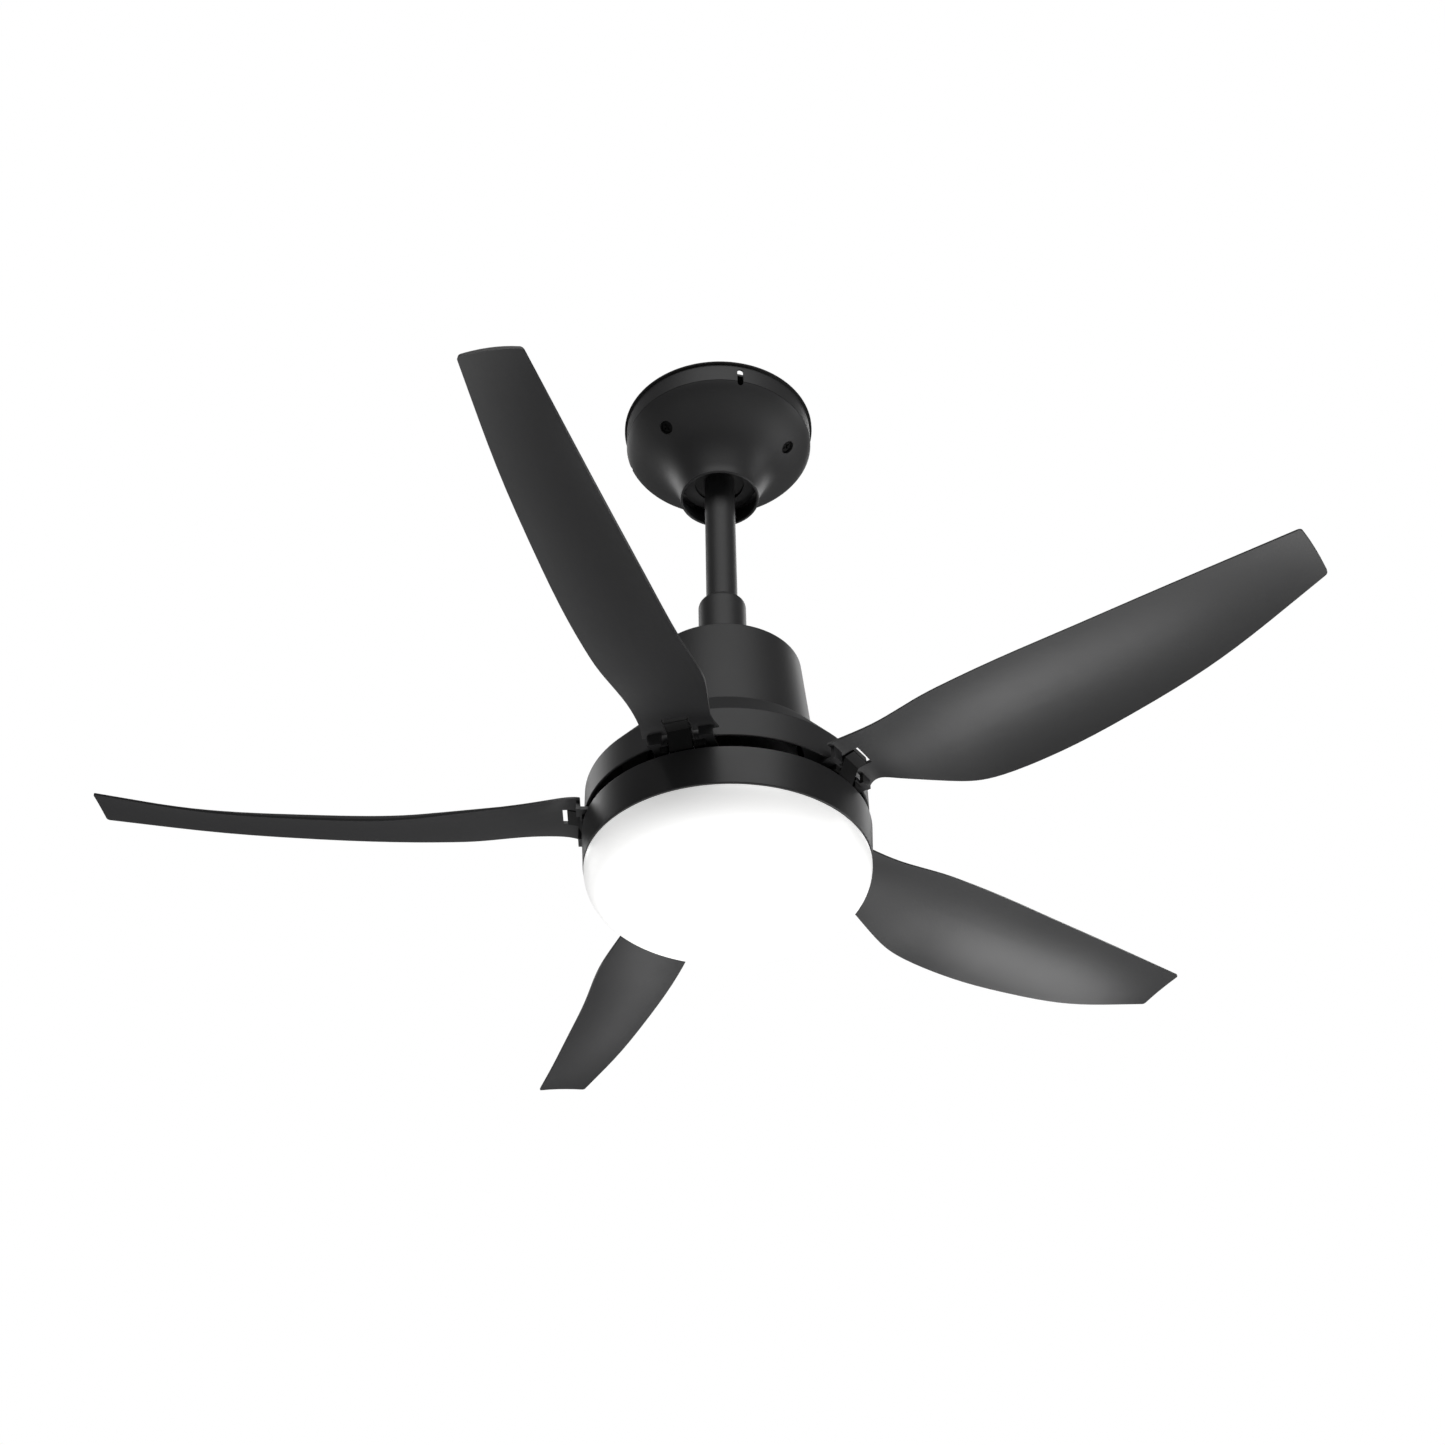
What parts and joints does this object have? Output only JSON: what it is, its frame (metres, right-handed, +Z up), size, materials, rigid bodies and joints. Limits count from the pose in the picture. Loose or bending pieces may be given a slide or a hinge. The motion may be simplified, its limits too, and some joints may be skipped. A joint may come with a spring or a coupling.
{
  "type": "ceiling fan with light",
  "caption": "Ceiling fan hung from a swivel downrod under a bell-shaped canopy, with twisted paddle blades round a drum motor housing and a shallow opal light below.",
  "frame": {"origin": "centre of the hanger bracket's top face, on the ceiling", "axes": "+Z up into the ceiling along the motor's axis; +X along the line of the bracket's two outlet-box holes"},
  "size_m": [0.9391, 0.9779, 0.5369],
  "materials": {
    "satin_black_metal": "satin black powder coat",
    "satin_black_plastic": "satin moulded, fine texture",
    "latch_plastic": "satin moulded",
    "black_screw": "black oxide",
    "gasket_foam": "closed-cell foam",
    "zinc_steel": "bright zinc plate",
    "earth_brass": "plated",
    "shaft_steel": "ground",
    "nylon": "natural",
    "black_nylon": "black, self-lubricating",
    "cast_grey": "as cast",
    "rotor_aluminium": "die cast",
    "carrier_black": "satin black",
    "lamination_steel": "stacked laminations",
    "copper_winding": "enamelled copper",
    "ferrite": "ground",
    "circuit_board": "solder mask",
    "capacitor_sleeve": "shrink sleeve",
    "receiver_plastic": "fine texture",
    "led_board_white": "white solder mask",
    "led_phosphor": "clear over phosphor",
    "driver_case": "fine texture",
    "opal_diffuser": "opal, satin"
  },
  "bodies": {
    "ceiling_mount": {"hanger_bracket": "satin_black_metal", "canopy": "satin_black_metal", "canopy_gasket": "gasket_foam", "canopy_screws": "black_screw", "terminal_block": "nylon", "receiver_box": "receiver_plastic", "earth_screw": "earth_brass"},
    "swivel_liner": {"ball_liner": "black_nylon"},
    "hanging_frame": {"hanger_ball": "black_nylon", "ball_pin": "zinc_steel", "downrod": "satin_black_metal", "coupling_cover": "satin_black_metal", "yoke": "cast_grey", "yoke_pin": "zinc_steel", "yoke_pin_clip": "zinc_steel", "yoke_set_screws": "zinc_steel", "motor_cover": "satin_black_metal", "cover_screws": "black_screw", "housing_skirt": "satin_black_metal", "skirt_screws": "zinc_steel", "motor_shaft": "shaft_steel", "stator_core": "lamination_steel", "stator_windings": "copper_winding", "control_board": "circuit_board", "board_standoffs": "zinc_steel", "board_capacitors": "capacitor_sleeve", "light_ring": "satin_black_plastic", "shaft_washer": "zinc_steel", "shaft_nut": "zinc_steel", "led_board": "led_board_white", "led_standoffs": "zinc_steel", "led_chips": "led_phosphor", "led_driver": "driver_case"},
    "rotor": {"rotor_shell": "rotor_aluminium", "rotor_base": "rotor_aluminium", "rotor_magnets": "ferrite", "upper_bearing": "shaft_steel", "lower_bearing": "shaft_steel", "blade_carrier": "carrier_black", "carrier_screws": "zinc_steel", "blade_studs": "zinc_steel", "latch_pins": "zinc_steel", "blade_1": "satin_black_plastic", "blade_2": "satin_black_plastic", "blade_3": "satin_black_plastic", "blade_4": "satin_black_plastic", "blade_5": "satin_black_plastic"},
    "light_diffuser": {"diffuser": "opal_diffuser"},
    "latch_arm_1": {"latch_1": "latch_plastic"},
    "latch_arm_2": {"latch_2": "latch_plastic"},
    "latch_arm_3": {"latch_3": "latch_plastic"},
    "latch_arm_4": {"latch_4": "latch_plastic"},
    "latch_arm_5": {"latch_5": "latch_plastic"}
  },
  "joints": [
    {"name": "swing_about_x", "type": "hinge", "parent": "ceiling_mount", "child": "swivel_liner", "pos_m": [0, 0, -0.048], "axis": [1, 0, 0], "range_deg": [-12, 12]},
    {"name": "swing_about_y", "type": "hinge", "parent": "swivel_liner", "child": "hanging_frame", "pos_m": [0, 0, -0.048], "axis": [0, 1, 0], "range_deg": [-12, 12]},
    {"name": "blade_spin", "type": "hinge", "parent": "hanging_frame", "child": "rotor", "pos_m": [0, 0, -0.4], "axis": [0, 0, 1], "continuous": true},
    {"name": "diffuser_twist", "type": "hinge", "parent": "hanging_frame", "child": "light_diffuser", "pos_m": [0, 0, -0.5], "axis": [0, 0, 1], "range_deg": [-18, 0]},
    {"name": "latch_press_1", "type": "hinge", "parent": "rotor", "child": "latch_arm_1", "pos_m": [0.09159, -0.06271, -0.4617], "axis": [0.565, 0.8251, 0], "range_deg": [0, 12], "stiffness_Nm_per_rad": 0.15, "springref_deg": -14.32},
    {"name": "latch_press_2", "type": "hinge", "parent": "rotor", "child": "latch_arm_2", "pos_m": [-0.03134, -0.10648, -0.4617], "axis": [0.9593, -0.2823, 0], "range_deg": [0, 12], "stiffness_Nm_per_rad": 0.15, "springref_deg": -14.32},
    {"name": "latch_press_3", "type": "hinge", "parent": "rotor", "child": "latch_arm_3", "pos_m": [-0.11096, -0.0031, -0.4617], "axis": [0.0279, -0.9996, 0], "range_deg": [0, 12], "stiffness_Nm_per_rad": 0.15, "springref_deg": -14.32},
    {"name": "latch_press_4", "type": "hinge", "parent": "rotor", "child": "latch_arm_4", "pos_m": [-0.03723, 0.10457, -0.4617], "axis": [-0.9421, -0.3355, 0], "range_deg": [0, 12], "stiffness_Nm_per_rad": 0.15, "springref_deg": -14.32},
    {"name": "latch_press_5", "type": "hinge", "parent": "rotor", "child": "latch_arm_5", "pos_m": [0.08794, 0.06773, -0.4617], "axis": [-0.6101, 0.7923, 0], "range_deg": [0, 12], "stiffness_Nm_per_rad": 0.15, "springref_deg": -14.32}
  ]
}
